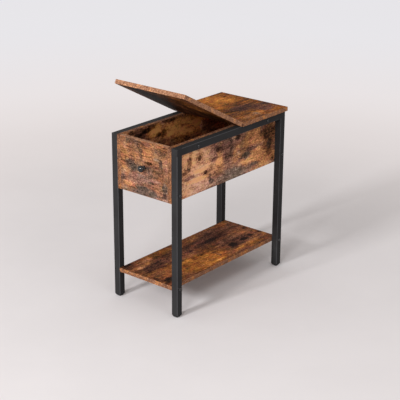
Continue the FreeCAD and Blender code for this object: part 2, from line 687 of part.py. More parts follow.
# ---- The whole table
def table():
    nodes = {}
    for side_name, side in SIDES.items():
        for end_name, end in ENDS.items():
            nodes[f"leg_{end_name}_{side_name}"] = leg(side, end)
            nodes[f"foot_{end_name}_{side_name}"] = foot(side, end)
        nodes[f"top_rail_{side_name}"] = top_rail(side)
        nodes[f"side_panel_{side_name}"] = side_panel(side)
        nodes[f"hinge_{side_name}_fixed_leaf"] = hinge_leaf(side, 1, 0)
        nodes[f"hinge_{side_name}_lid_leaf"] = opened(hinge_leaf(side, -1, 1))
        nodes[f"hinge_{side_name}_pin"] = hinge_pin(side)
    nodes["front_panel"] = front_panel()
    nodes["back_panel"] = end_panel(ENDS["back"])
    nodes["compartment_floor"] = compartment_floor()
    nodes["lower_shelf"] = lower_shelf()
    nodes["fixed_top"] = fixed_top()
    nodes["lid_panel"] = lid_panel()
    nodes["hinge_screws_fixed"] = hinge_screws(1)
    nodes["hinge_screws_lid"] = opened(hinge_screws(-1))
    nodes["knob"] = knob()
    nodes["knob_screw"] = knob_screw()
    nodes["shelf_bolts"] = at_places(frame_bolt, shelf_bolt_places())
    nodes["leg_panel_bolts"] = at_places(frame_bolt, leg_bolt_places())
    nodes["rail_panel_bolts"] = at_places(frame_bolt, rail_bolt_places())
    nodes["shelf_inserts"] = at_places(threaded_insert, shelf_bolt_places())
    nodes["panel_inserts"] = at_places(threaded_insert, leg_bolt_places() + rail_bolt_places())
    nodes["cam_locks"] = cam_locks()
    nodes["cam_bolts"] = cam_bolts()
    nodes["dowels"] = dowels()
    nodes["top_screws"] = top_screws()
    nodes["rail_plugs"] = rail_plugs()
    return nodes


os.makedirs("parts", exist_ok=True)
for name, shape in table().items():
    shape.exportStep(f"parts/{name}.step")
    print(f"{name}: {len(shape.Solids)} solid(s), valid {shape.isValid()}, {shape.Volume / 1000:.2f} cm3")
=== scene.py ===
# %% [markdown]
# # A lift top end table
# The table is a narrow storage box of rustic-wood boards, hung between two frames of black square
# tube. The front part of its top is a lid that stands part open. The solids come from the packed
# part, so this lesson is about what they are made of: printed board with banded edges, powder
# coated steel, moulded plastic, a lacquered knob and plated fittings. It ends with the studio.

# %% Load the solids
import json
import math

import bpy
from mathutils import Euler, Matrix, Vector


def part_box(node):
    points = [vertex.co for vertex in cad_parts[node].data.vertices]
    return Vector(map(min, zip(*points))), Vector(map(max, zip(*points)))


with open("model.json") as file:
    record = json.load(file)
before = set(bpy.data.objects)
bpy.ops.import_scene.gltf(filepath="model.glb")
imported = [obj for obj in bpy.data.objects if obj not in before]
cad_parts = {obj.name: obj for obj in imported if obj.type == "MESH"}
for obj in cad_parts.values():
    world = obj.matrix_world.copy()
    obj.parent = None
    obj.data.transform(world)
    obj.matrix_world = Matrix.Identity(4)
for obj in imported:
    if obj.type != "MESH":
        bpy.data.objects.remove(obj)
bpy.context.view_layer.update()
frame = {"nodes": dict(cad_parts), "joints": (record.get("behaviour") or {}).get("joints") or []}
nodes = frame["nodes"]

# %% [markdown]
# ## Camera
# The table is seen from its front right corner and from above, with a long lens, so that its
# verticals hardly converge. A camera looks along its own -Z, so it is tipped up from straight down
# by a right angle plus its pitch, then turned round by its heading. The small roll is the tilt of a
# hand-levelled tripod.

# %% Camera
CAMERA_PLACE = Vector((2.400, -2.9055, 1.732))
CAMERA_HEADING = math.radians(-39.5)
CAMERA_PITCH = math.radians(-20.69)
CAMERA_ROLL = math.radians(0.37)
CAMERA_LENS = 103.1


def add_camera():
    bpy.ops.object.camera_add(location=CAMERA_PLACE)
    camera = bpy.context.object
    aim = Euler((math.pi / 2 + CAMERA_PITCH, 0, -CAMERA_HEADING)).to_matrix()
    camera.rotation_euler = (aim @ Matrix.Rotation(CAMERA_ROLL, 3, "Z")).to_euler()
    camera.data.lens = CAMERA_LENS
    camera.data.clip_end = 100
    return camera


bpy.ops.object.select_all(action="DESELECT")
bpy.context.scene.camera = add_camera()
print("camera", [round(v, 3) for v in CAMERA_PLACE], "lens", CAMERA_LENS)

# %% [markdown]
# ## Shader maths as plain sums
# A finish is a tree of small nodes, and most of them only add or multiply. Wrapping a socket in a
# class that knows +, - and * lets a finish be read as a formula. Every other node comes from one
# method, which takes the node's type, its settings and what goes into its sockets.


# %% A socket that can be added and multiplied
class Value:
    """One output of a node. Sums with it add Math nodes to its finish."""

    def __init__(self, finish, socket):
        self.finish = finish
        self.socket = socket

    def math(self, operation, other=0.0, swapped=False):
        first, second = (other, self) if swapped else (self, other)
        return self.finish.node("ShaderNodeMath", {"operation": operation}, {0: first, 1: second})

    def __add__(self, other):
        return self.math("ADD", other)

    def __sub__(self, other):
        return self.math("SUBTRACT", other)

    def __rsub__(self, other):
        return self.math("SUBTRACT", other, swapped=True)

    def __mul__(self, other):
        return self.math("MULTIPLY", other)

    __radd__ = __add__
    __rmul__ = __mul__

    def size(self):
        return self.math("ABSOLUTE")

    def larger(self, other):
        return self.math("MAXIMUM", other)

    def ramp(self, low, high):
        """A smooth step from 0 to 1 as this value goes from low to high."""
        settings = {"interpolation_type": "SMOOTHSTEP"}
        return self.finish.node("ShaderNodeMapRange", settings, {0: self, 1: low, 2: high})


# %% A material, or a sky, that nodes are added to
BUMP_STRENGTH = 0.5
PATCH_EDGE = (0.3, 0.7)


class Finish:
    """A node tree. shader is the node that it ends in, before its output."""

    def __init__(self, owner, shader="Principled BSDF"):
        owner.use_nodes = True
        self.owner = owner
        self.tree = owner.node_tree
        self.shader = self.tree.nodes[shader]

    def node(self, kind, settings=None, sockets=None, out=0):
        made = self.tree.nodes.new(kind)
        for name, value in (settings or {}).items():
            if name == "stops":
                self.set_stops(made.color_ramp, value)
            else:
                setattr(made, name, value)
        for name, value in (sockets or {}).items():
            self.put(made.inputs[name], value)
        return Value(self, made.outputs[out])

    def put(self, socket, value):
        if isinstance(value, Value):
            self.tree.links.new(value.socket, socket)
        else:
            socket.default_value = value

    def set_stops(self, ramp, stops):
        while len(ramp.elements) < len(stops):
            ramp.elements.new(0.5)
        for element, (place, colour) in zip(ramp.elements, stops):
            element.position = place
            element.color = colour

    def surface(self, **sockets):
        """Sets the shader's own sockets, by name with _ for a space."""
        for name, value in sockets.items():
            self.put(self.shader.inputs[name.replace("_", " ")], value)

    def place(self):
        """The point on the surface, in metres, in the table's own frame."""
        return self.node("ShaderNodeTexCoord", out="Object")

    def noise(self, point, scale, detail, roughness, out="Fac"):
        sockets = {"Vector": point, "Scale": scale, "Detail": detail, "Roughness": roughness}
        return self.node("ShaderNodeTexNoise", None, sockets, out)

    def vector(self, operation, first, second, third=(0, 0, 0), out="Vector"):
        sockets = {0: first, 1: second, 2: third}
        return self.node("ShaderNodeVectorMath", {"operation": operation}, sockets, out)

    def blend(self, amount, first, second):
        sockets = {0: amount, 6: first, 7: second}
        return self.node("ShaderNodeMix", {"data_type": "RGBA"}, sockets, 2)

    def colours(self, level, stops):
        """The colour that a ladder of stops, (level, colour), gives a level."""
        return self.node("ShaderNodeValToRGB", {"stops": stops}, {0: level})

    def scaled(self, vector, amount):
        sockets = {"Vector": vector, "Scale": amount}
        return self.node("ShaderNodeVectorMath", {"operation": "SCALE"}, sockets, "Vector")

    def axes(self, vector):
        return [self.node("ShaderNodeSeparateXYZ", None, {0: vector}, axis) for axis in range(3)]

    def bump(self, height, distance, strength=BUMP_STRENGTH):
        sockets = {"Height": height, "Distance": distance, "Strength": strength}
        return self.node("ShaderNodeBump", None, sockets, "Normal")

    def seen(self):
        """1 for rays that show the surface itself, 0 for those that gather its light."""
        kinds = ("Is Camera Ray", "Is Glossy Ray", "Is Transmission Ray")
        camera, glossy, clear = (self.node("ShaderNodeLightPath", out=kind) for kind in kinds)
        return camera.larger(glossy).larger(clear)


def new_finish(name):
    return Finish(bpy.data.materials.new(name))


def tone(red, green, blue):
    """A colour as a paint chart gives it, 0 to 255, made linear for a shader."""
    channels = []
    for level in (red / 255, green / 255, blue / 255):
        channels.append(level / 12.92 if level <= 0.04045 else ((level + 0.055) / 1.055) ** 2.4)
    return (*channels, 1.0)


print("mid brown is", [round(c, 3) for c in tone(120, 82, 58)])

# %% [markdown]
# ## Where each board lies
# A printed pattern belongs to its board: it runs along the board's length, lies on its two faces
# and stops at the edges, where a thin band is glued on. So each finish first turns a point into
# board measures: metres along the grain, metres across it, and metres through the thickness, from
# the board's middle. The lid is part open, so its measures are turned back by the opening angle.

# %% Board measures
JOINT = frame["joints"][0]
PIVOT = Vector(JOINT["pos_m"])
LID_ANGLE = math.radians(JOINT["range_deg"][0])
AXES = {"X": 0, "Y": 1, "Z": 2}


def board_box(node, turn):
    """The middle of a board and half its sizes, measured square to the board itself."""
    unturned = Matrix.Rotation(-turn, 3, "X")
    points = [unturned @ (v.co - PIVOT) for v in nodes[node].data.vertices]
    low = Vector(min(p[axis] for p in points) for axis in range(3))
    high = Vector(max(p[axis] for p in points) for axis in range(3))
    middle = PIVOT + Matrix.Rotation(turn, 3, "X") @ ((low + high) / 2)
    return middle, (high - low) / 2


def board_measures(finish, middle, turn, order):
    """Along, across and through, as values, where order names the axes such as YXZ."""
    own = finish.node(
        "ShaderNodeMapping",
        {"vector_type": "TEXTURE"},
        {"Vector": finish.place(), "Location": middle, "Rotation": (turn, 0, 0)},
    )
    parts = finish.axes(own)
    return [parts[AXES[letter]] for letter in order]


middle, half = board_box("lid_panel", LID_ANGLE)
print("lid, square to itself:", [round(2000 * h) for h in half], "mm")

# %% [markdown]
# ## Rustic board
# The decor is a print of old, stained timber: broad clouds of light and dark, ragged blots, a
# mottle a few centimetres wide, specks, fibres along the grain, fine dark cracks, and knots with
# rings round them. Noise gives all but the knots and the largest stains. Those are placed on each
# board, as a designer of such a print does. Each is an oval in board measures, and its rim is made
# ragged by pulling the point that measures it about with noise. The reverse of a board gets the
# same marks end for end, with its stains fainter.

# %% Ovals and knots
MM = 0.001
KNOT_LENGTH = 1.15
KNOT_RINGS = [
    (0.0, 0.5), (0.3, 0.42), (0.42, 0.1), (0.54, 0.24), (0.68, 0.03), (0.8, 0.1), (1.0, 0.0),
]
STIR_DETAIL, STIR_ROUGHNESS = 4, 0.7
STIR_ACROSS = 0.7


def oval(finish, point, along, across, length, width):
    """How far a point is from an oval's middle: 1 at its rim. Measures in millimetres."""
    scale = (1 / (length * MM), 1 / (width * MM), 0)
    shift = (-along / length, -across / width, 0)
    scaled = finish.vector("MULTIPLY_ADD", point, scale, shift)
    return finish.vector("LENGTH", scaled, (0, 0, 0), out="Value")


def patches(finish, point, softness, shapes):
    """The sum of ovals: (along, across, length, width, how light, how golden, how dusky)."""
    total = (0, 0, 0)
    for along, across, length, width, *change in shapes:
        distance = oval(finish, point, along, across, length, width)
        spot = distance.ramp(1 + softness, 1 - softness)
        total = finish.vector("ADD", total, finish.scaled(change, spot))
    return total


def knots(finish, point, places):
    """The darkening of knots, an eye and two rings: (along, across, radius, how strong)."""
    stops = [(place, (depth, depth, depth, 1)) for place, depth in KNOT_RINGS]
    total = 0.0
    for along, across, radius, strength in places:
        distance = oval(finish, point, along, across, radius * KNOT_LENGTH, radius)
        total = total + finish.colours(distance, stops) * strength
    return total


def stirred(finish, point, layer, scale, reach):
    """The point moved about by noise, so that whatever is placed with it gets a ragged edge."""
    noise = finish.noise(layer, scale, STIR_DETAIL, STIR_ROUGHNESS, "Color")
    shift = finish.vector("SUBTRACT", noise, (0.5, 0.5, 0.5))
    reach_across = STIR_ACROSS * reach
    return finish.vector("MULTIPLY_ADD", shift, (reach * MM, reach_across * MM, 0), point)


print("a knot's eye is", KNOT_RINGS[0][1], "darker than its board")

# %% [markdown]
# Three colour ladders stand for the inks of the print, one rosy, one golden and one dusky, each
# from near black to pale. Noise and the placed patches mix them, so that a board drifts from one to
# the next. The edge bands are printed apart from the faces: plainer, paler and finely speckled.

# %% Colour ladders
LEVELS = (0.0, 0.16, 0.32, 0.48, 0.62, 0.76, 0.88, 1.0)


def ladder(*tones):
    return [(level, tone(*colour)) for level, colour in zip(LEVELS, tones)]


ROSY = ladder(
    (26, 14, 10), (58, 34, 26), (88, 55, 42), (120, 78, 62),
    (150, 101, 80), (182, 127, 102), (208, 153, 124), (234, 188, 160),
)
GOLDEN = ladder(
    (24, 12, 5), (58, 32, 15), (90, 54, 26), (125, 75, 37),
    (158, 98, 49), (189, 121, 62), (215, 142, 74), (240, 168, 96),
)
DUSKY = ladder(
    (24, 18, 15), (50, 39, 33), (76, 61, 52), (102, 83, 71),
    (130, 107, 92), (160, 134, 116), (188, 162, 142), (216, 192, 172),
)
BAND = ladder(
    (70, 45, 34), (92, 61, 46), (116, 79, 60), (136, 96, 73),
    (154, 112, 86), (172, 128, 101), (190, 148, 121), (208, 171, 146),
)


def inked(finish, level, gold, dusk):
    """The colour of a level of the print, somewhere between the three ladders."""
    colour = finish.blend(gold, finish.colours(level, ROSY), finish.colours(level, GOLDEN))
    return finish.blend(dusk, colour, finish.colours(level, DUSKY))


print(len(ROSY), "steps from", LEVELS[0], "to", LEVELS[-1])

# %% [markdown]
# The print's own drawing is a set of noises, from clouds of about two decimetres down to crumbs of
# two millimetres. Squeezing the point along the grain before a noise reads it draws the pattern
# out, a little for the stains and a lot for the fibres. A noise is centred on zero, so that it
# makes the board neither lighter nor darker as a whole. Depth through the board counts forty times,
# so that its two faces get different drawings, and each board starts at a place of its own.

# %% Noises of the print, as squeeze along the grain, scale, detail and roughness
CLOUD = (0.6, 7, 4, 0.55)
BLOT = (0.55, 19, 6, 0.7)
MOTTLE = (0.6, 52, 5, 0.7)
SPECK = (0.7, 165, 3, 0.7)
CRUMB = (0.6, 420, 3, 0.6)
FIBRE = (0.07, 150, 4, 0.6)
CRACK = (0.3, 30, 4, 0.55)
HUE = (0.5, 80, 4, 0.7)
CLOUD_SHARE, BLOT_SHARE, MOTTLE_SHARE = 0.7, 0.9, 1.1
SPECK_SHARE, CRUMB_SHARE, FIBRE_SHARE = 1.05, 0.75, 0.65
HUE_SHARE = 0.09
CRACK_WIDTH = 0.012
LAYER_DEPTH = 40
SEED_STEP = (1.37, 2.11, 0.73)


def grain(finish, layer, squeeze, scale, detail, roughness):
    """A noise drawn out along the grain, about -0.5 to 0.5."""
    drawn = finish.vector("MULTIPLY", layer, (squeeze, 1, 1))
    return finish.noise(drawn, scale, detail, roughness) - 0.5


print("fibres are drawn out", round(1 / FIBRE[0]), "times")

# %% [markdown]
# The placed stains are stirred before they are measured. Clouds are swayed by a broad noise and
# then frayed by a finer one, flecks are only frayed, and knots hardly at all, because they would
# lose their rings.

# %% Placed stains, with each stir as noise scale and reach in millimetres
CLOUD_SWAY, CLOUD_FRAY = (13, 70), (45, 50)
FLECK_FRAY = (90, 22)
KNOT_FRAY = (60, 8)
CLOUD_BLUR, FLECK_BLUR = 0.6, 0.3
REVERSE_FADE = 0.45


def placed_stains_and_shade(finish, flat, layer, on_face, clouds, flecks):
    """How much lighter, more golden and duskier placed stains and painted shade make the print."""
    near = stirred(finish, flat, layer, *FLECK_FRAY)
    loose = stirred(finish, stirred(finish, flat, layer, *CLOUD_SWAY), layer, *CLOUD_FRAY)
    placed = patches(finish, loose, CLOUD_BLUR, clouds)
    placed = finish.vector("ADD", placed, patches(finish, near, FLECK_BLUR, flecks))
    strength = 1 - (1 - on_face) * REVERSE_FADE
    return finish.axes(finish.scaled(placed, strength))


print("a cloud is swayed by up to", CLOUD_SWAY[1] / 2, "mm")

# %% [markdown]
# A band is half a millimetre thick, and a hair of dark glue shows beside it. How far a point is
# from the board's rim tells face, glue and band apart.

# %% Edge bands
BAND_THICKNESS = 0.5 * MM
BAND_BLUR = 0.05 * MM
BAND_LEVEL, BAND_GOLD = 0.57, 0.25
BAND_DOTS = (260, 4, 0.75)
BAND_STREAKS = (46, 4, 0.6)
DOT_SHARE, STREAK_SHARE, STREAK_GOLD = 2.4, 1.1, 3
GLUE_LINE = 0.3 * MM
GLUE_SHARE = 0.5
GLUE = tone(48, 32, 25)


def edge_bands(finish, solid, rim, lift, golden, colour):
    """The colour with the edge bands over it, and where the glue line is."""
    banded = rim.ramp(-BAND_THICKNESS - BAND_BLUR, -BAND_THICKNESS + BAND_BLUR)
    glued = rim.ramp(-BAND_THICKNESS - GLUE_LINE, -BAND_THICKNESS) * (1 - banded)
    dots = finish.noise(solid, *BAND_DOTS) - 0.5
    streaks = finish.noise(solid, *BAND_STREAKS) - 0.5
    level = BAND_LEVEL + lift + dots * DOT_SHARE + streaks * STREAK_SHARE
    gold = (BAND_GOLD + golden + streaks * STREAK_GOLD).ramp(0, 1)
    band = finish.blend(gold, finish.colours(level, BAND), finish.colours(level, GOLDEN))
    colour = finish.blend(banded, colour, band)
    return finish.blend(glued * GLUE_SHARE, colour, GLUE), glued


print("bands are", BAND_THICKNESS / MM, "mm thick")

# %% [markdown]
# The board finish puts these together. A level of 0.5 is the middle of the ladders, and whatever
# darkens the print is taken from it. Dark cores of blots and cracks come from noise too. The cores
# are held back on the face whose stains are placed, since they would compete with them. The level
# also gives a little relief, so that light catches the print as it does an embossed foil.

# %% The board finish
FACE_BLUR = 1 * MM
CORE_EDGE, CORE_DARKNESS, CORE_HELD = (-0.08, -0.14), 0.22, 0.7
CRACKED_EDGE, CRACK_DARKNESS = (0.04, -0.04), 0.2
GOLD_DRIFT, DUSK_DRIFT = (5, 4, 0.65), (17, 5, 0.7)
DRIFT_SHARE, GOLD_MOTTLE, DUSK_HELD = 2.4, 1.2, 0.1
FIBRE_RELIEF, CRUMB_RELIEF, LEVEL_RELIEF, CRACK_RELIEF = 0.5, 0.35, 0.3, 0.3
RELIEF = 0.25 * MM
BOARD_ROUGHNESS, MOTTLE_ROUGHNESS, BOARD_SHINE = 0.55, 0.3, 0.015


def rustic_board(node, order, face, seed, clouds, flecks, eyes, look, band, turn=0.0):
    """Printed board. face is the side, 1 or -1 through the board, that the stains are placed on.

    look is (lift, gold, dusk, how busy, how rich) for the whole board: busy is the strength of
    its own noise and rich that of its colour. band is (lift, gold) for its edges.
    """
    lift, golden, dusky, busy, rich = look
    finish = new_finish(f"rustic_{node}")
    middle, half = board_box(node, turn)
    along, across, through = board_measures(finish, middle, turn, order)
    half_along, half_across = (half[AXES[letter]] for letter in order[:2])
    on_face = (through * face).ramp(-FACE_BLUR, FACE_BLUR)
    print_along = along * (on_face * 2 - 1)
    flat = finish.node("ShaderNodeCombineXYZ", None, {0: print_along, 1: across, 2: 0.0})
    solid = finish.node("ShaderNodeCombineXYZ", None, {0: along, 1: across, 2: through})
    start = [seed * step for step in SEED_STEP]
    layer = finish.vector("MULTIPLY_ADD", solid, (1, 1, LAYER_DEPTH), start)

    noises = (CLOUD, BLOT, MOTTLE, SPECK, CRUMB, FIBRE)
    cloud, blot, mottle, speck, crumb, fibre = (grain(finish, layer, *each) for each in noises)
    crack = grain(finish, layer, *CRACK).size().ramp(CRACK_WIDTH, 0.0)
    light, gold, dusk = placed_stains_and_shade(finish, flat, layer, on_face, clouds, flecks)

    stains = (cloud * CLOUD_SHARE + blot * BLOT_SHARE + mottle * MOTTLE_SHARE) * busy
    level = 0.5 + lift + stains + speck * SPECK_SHARE
    level = level + crumb * CRUMB_SHARE + fibre * FIBRE_SHARE + light
    level = level - blot.ramp(*CORE_EDGE) * (1 - on_face * CORE_HELD) * CORE_DARKNESS
    level = level - crack * mottle.ramp(*CRACKED_EDGE) * CRACK_DARKNESS
    level = level - knots(finish, stirred(finish, flat, layer, *KNOT_FRAY), eyes)

    drift = finish.noise(layer, *GOLD_DRIFT) - 0.5
    gold = 0.5 + golden + gold + (drift * DRIFT_SHARE + mottle * GOLD_MOTTLE) * busy
    gold = gold.ramp(0, 1)
    dusk = dusky + dusk + (finish.noise(layer, *DUSK_DRIFT) - 0.5) * DRIFT_SHARE
    dusk = (dusk - DUSK_HELD).ramp(0, 1)
    colour = inked(finish, level, gold, dusk)
    hue = grain(finish, layer, *HUE) * HUE_SHARE + 0.5
    sockets = {"Hue": hue, "Saturation": rich, "Color": colour}
    colour = finish.node("ShaderNodeHueSaturation", None, sockets)

    rim = (along.size() - half_along).larger(across.size() - half_across)
    colour, glued = edge_bands(finish, solid, rim, *band, colour)
    height = fibre * FIBRE_RELIEF + crumb * CRUMB_RELIEF + level * LEVEL_RELIEF
    height = height - glued - crack * CRACK_RELIEF
    finish.surface(
        Base_Color=colour,
        Roughness=BOARD_ROUGHNESS + mottle * MOTTLE_ROUGHNESS,
        Specular_IOR_Level=BOARD_SHINE,
        Normal=finish.bump(height, RELIEF),
    )
    nodes[node].data.materials[0] = finish.owner


print("the print is embossed", RELIEF / MM, "mm deep")

# %% [markdown]
# Now each board gets its own print. Measures are in millimetres from the board's middle, along the
# grain first. Clouds are broad and soft, flecks small and crisp. Each ends in three numbers: how
# much lighter it makes the print, how much more golden than rosy, and how much duskier.

# %% Right side of the box
side_right_clouds = [
    (-170, 15, 90, 60, 0.29, 0.1, -0.5), (-180, -72, 74, 26, 0.29, 0.0, -0.2),
    (-40, -14, 40, 30, 0.14, 0.3, -0.3), (0, 28, 32, 42, -0.2, -0.3, 0.2),
    (0, -18, 26, 26, -0.17, -0.3, 0.2), (20, -78, 110, 26, -0.11, -0.5, 0.7),
    (-78, 18, 22, 30, -0.15, -0.4, 0.1), (150, 32, 48, 26, 0.07, 1.2, -0.8),
    (80, 14, 34, 22, -0.06, 0.6, 0.3), (234, 12, 36, 52, -0.3, 0.4, 0.0),
    (150, -44, 60, 26, 0.09, 0.6, 0.0), (235, -68, 50, 16, 0.04, 0.8, -0.2),
]
side_right_flecks = [
    (-197, 46, 9, 20, -0.3, 0.0, 0.4), (-204, 18, 12, 22, -0.34, 0.0, 0.6),
    (-214, -3, 15, 8, -0.3, 0, 0.5), (-232, -10, 12, 6, -0.23, 0, 0.3),
    (-150, -17, 44, 8, 0.24, 0.2, 0), (-200, -31, 26, 7, -0.16, -0.6, 0),
    (-165, -46, 62, 8, 0.18, 0.3, 0), (-46, -12, 18, 14, 0.12, 0.5, -0.4),
    (-97, -56, 9, 15, -0.3, -0.2, 0.5), (-88, -71, 14, 10, -0.24, -0.2, 0.5),
    (-66, 3, 22, 7, -0.16, -0.3, 0), (42, -16, 24, 22, 0.14, 0.5, 0.3),
    (54, 49, 13, 10, -0.46, 0.1, 0.2), (132, -10, 34, 7, -0.28, -0.7, 0),
    (188, 38, 9, 18, -0.21, -0.7, 0), (176, -20, 18, 9, 0.18, 0.1, 0),
    (92, -53, 38, 7, 0.18, 0.1, 0), (208, 34, 10, 20, -0.16, 0, 0.1),
    (236, -44, 18, 14, -0.2, 0.3, 0.0), (236, -16, 15, 20, -0.14, 0, 0.5),
    (150, -70, 24, 8, -0.16, -0.3, 0.4), (100, -28, 28, 14, -0.2, 0.8, 0.5),
    (66, -31, 9, 4, -0.18, -0.5, 0), (20, 12, 9, 22, -0.09, 0, 0.2),
]
side_right_eyes = [
    (-151, 26, 27, 1.4), (-51, 34, 34, 0.9), (-120, -31, 22, 1.4), (-92, -20, 14, 0.8),
    (100, -28, 34, 0.35), (258, -76, 16, 0.8),
]
rustic_board(
    "side_panel_right", order="YZX", face=1, seed=3,
    clouds=side_right_clouds, flecks=side_right_flecks, eyes=side_right_eyes,
    look=(0.13, -0.1, 0.1, 0.72, 0.91), band=(-0.18, -0.05),
)
print("right side:", len(side_right_clouds), "clouds and", len(side_right_flecks), "flecks")

# %% Front of the box
front_clouds = [
    (-92, 24, 20, 60, 0.03, 0.8, -0.2), (-52, 70, 52, 30, -0.07, 0.9, 0.2),
    (-50, 4, 40, 20, -0.11, 0.0, 0.2), (-30, -42, 60, 18, 0.01, -0.7, 0.0),
    (0, -84, 60, 14, -0.08, -0.3, 0.7), (94, 20, 18, 34, 0.12, -0.35, -0.7),
    (60, -2, 40, 16, -0.08, 0.0, 0.3), (96, -46, 14, 24, -0.08, 0.0, 0.6),
    (64, -64, 26, 16, 0.06, 0.0, 0.0), (60, 76, 40, 22, -0.02, 0.4, 0.2),
]
front_flecks = [
    (-83, 65, 8, 14, 0.12, 0.1, 0.0), (-44, 86, 34, 7, -0.07, 0.3, 0.1),
    (-12, 45, 9, 24, -0.15, 0, 0.2), (11, 50, 18, 16, 0.08, 0.2, -0.4),
    (40, 57, 16, 6, 0.06, 0.3, 0), (12, 84, 22, 7, -0.14, -0.6, 0), (64, 84, 12, 9, -0.06, 0.2, 0),
    (54, 42, 12, 4, 0.15, -0.2, 0.3), (73, 30, 7, 13, -0.2, -0.5, 0.2),
    (22, 22, 16, 5, -0.42, 0.2, 0), (10, 7, 18, 5, -0.2, 0.4, 0.2),
    (-63, 12, 20, 9, -0.15, -0.3, 0.2), (-80, 26, 15, 4, -0.17, 0, 0),
    (-43, -4, 16, 12, -0.11, 0.5, 0.4), (-75, -19, 16, 8, 0.08, 0.4, 0),
    (-95, -50, 13, 12, -0.1, -0.6, 0.1), (-64, -64, 30, 9, 0.18, 0.1, -0.2),
    (-14, -67, 30, 7, -0.12, 0.3, 0.5), (40, -84, 16, 12, -0.12, -0.2, 0.6),
    (34, -44, 14, 5, -0.11, 0.4, 0.3), (92, -76, 9, 7, -0.18, -0.4, 0.1),
    (92, -89, 15, 4, 0.15, -0.5, 0), (52, -34, 26, 5, 0.08, -0.5, 0),
    (-12, -28, 14, 5, 0.06, -0.2, 0.2),
]
rustic_board(
    "front_panel", order="XZY", face=-1, seed=8,
    clouds=front_clouds, flecks=front_flecks,
    eyes=[(91, -72, 9, 0.35), (-95, -51, 10, 0.3)],
    look=(0.02, 0.12, 0.32, 0.42, 0.9), band=(0.1, -0.1),
)
print("front:", len(front_clouds), "clouds and", len(front_flecks), "flecks")

# %% Fixed part of the top
top_clouds = [
    (15, -88, 66, 50, 0.24, 0.9, -0.5), (-35, -30, 34, 28, 0.14, 0.6, -0.3),
    (72, -48, 34, 26, 0.12, 0.4, -0.2), (0, 34, 56, 22, -0.12, -0.7, -0.9),
    (60, 62, 66, 24, -0.15, -0.5, -0.5), (70, 96, 34, 18, -0.1, -0.8, -0.3),
    (-50, 118, 66, 20, 0.2, 0.0, 0.5), (0, 112, 34, 20, 0.12, 0.1, 0.15),
    (100, 136, 30, 16, -0.06, 0.4, 0.0),
]
top_flecks = [
    (-60, 38, 26, 11, -0.14, 0.4, 0.2), (2, 30, 20, 10, -0.02, -0.8, -0.3),
    (56, 24, 16, 7, -0.22, -1.0, -0.2), (112, 58, 18, 12, -0.1, -0.8, 0),
    (92, 23, 22, 6, -0.12, 0, 0), (34, 0, 22, 9, -0.16, 0.8, 0), (84, -105, 12, 10, -0.14, 0.9, 0),
    (15, 112, 14, 10, 0.08, 0, 0), (86, -72, 7, 5, -0.14, 0, 0), (-70, 62, 30, 6, -0.1, -0.4, 0.2),
    (30, -140, 22, 6, 0.1, -0.2, 0),
]
rustic_board(
    "fixed_top", order="YXZ", face=1, seed=12,
    clouds=top_clouds, flecks=top_flecks,
    eyes=[(83, -101, 12, 0.6)],
    look=(-0.05, 0.3, -0.2, 0.65, 1.03), band=(-0.03, 0.0),
)
print("fixed top:", len(top_clouds), "clouds and", len(top_flecks), "flecks")

# %% Lower shelf
shelf_clouds = [
    (-60, 62, 100, 46, 0.16, 0.7, 0.15), (155, 96, 60, 20, 0.17, 0.4, -0.1),
    (70, -40, 120, 22, -0.18, -0.3, -0.2), (140, -62, 80, 30, -0.14, -0.7, 0.0),
    (-205, -38, 56, 20, -0.2, -0.5, -0.1), (-215, 0, 50, 14, 0.05, 0.0, 0.0),
    (-245, -74, 40, 20, 0.19, 0.0, 0.0), (-245, 78, 34, 18, -0.36, 0.0, 0.3),
    (150, 44, 66, 22, -0.16, -0.4, 0.0), (140, 10, 50, 20, -0.05, -0.5, 0.0),
    (265, -50, 34, 34, -0.07, -0.2, 0.0), (-110, -96, 50, 18, 0.02, 0.3, 0.0),
]
shelf_flecks = [
    (124, 52, 20, 15, -0.38, 0, 0.3), (190, 50, 20, 10, -0.34, -0.4, 0.3),
    (108, 76, 16, 9, -0.24, 0, 0.1), (-12, 100, 28, 9, 0.17, 0.9, 0),
    (20, 62, 8, 20, -0.19, -0.5, 0), (4, -64, 50, 7, -0.2, 0, 0), (96, -34, 40, 9, -0.13, -0.4, 0),
    (-30, -28, 22, 9, -0.19, -0.6, 0), (132, -78, 22, 10, -0.17, -0.8, 0),
    (-265, -110, 17, 6, -0.43, -0.3, 0.2), (-185, -88, 26, 12, 0.19, -0.1, 0),
    (-250, -60, 18, 8, 0.12, -0.2, 0), (-250, -14, 18, 10, -0.18, 0, 0.1),
    (-160, -30, 30, 8, -0.12, -0.4, 0), (-70, 26, 8, 9, -0.22, 0, 0),
    (170, 28, 22, 7, -0.12, -0.9, 0), (112, 6, 14, 9, 0.07, -0.6, 0),
    (-110, 30, 30, 14, 0.12, 0.4, 0), (180, -30, 60, 6, -0.08, 0, 0.1),
    (222, 98, 20, 8, 0.1, 0.3, 0), (-282, 46, 10, 20, -0.24, -0.3, 0),
    (60, 10, 40, 6, -0.19, 0.2, 0.1),
]
shelf_eyes = [
    (275, -17, 14, 0.8), (286, 49, 14, 0.8), (240, 42, 14, 0.8), (-22, 28, 9, 0.6),
    (-150, 66, 9, 0.6),
]
rustic_board(
    "lower_shelf", order="YXZ", face=1, seed=21,
    clouds=shelf_clouds, flecks=shelf_flecks, eyes=shelf_eyes,
    look=(-0.09, 0.0, 0.0, 0.7, 1.02), band=(-0.08, 0.0),
)
print("shelf:", len(shelf_clouds), "clouds and", len(shelf_flecks), "flecks")

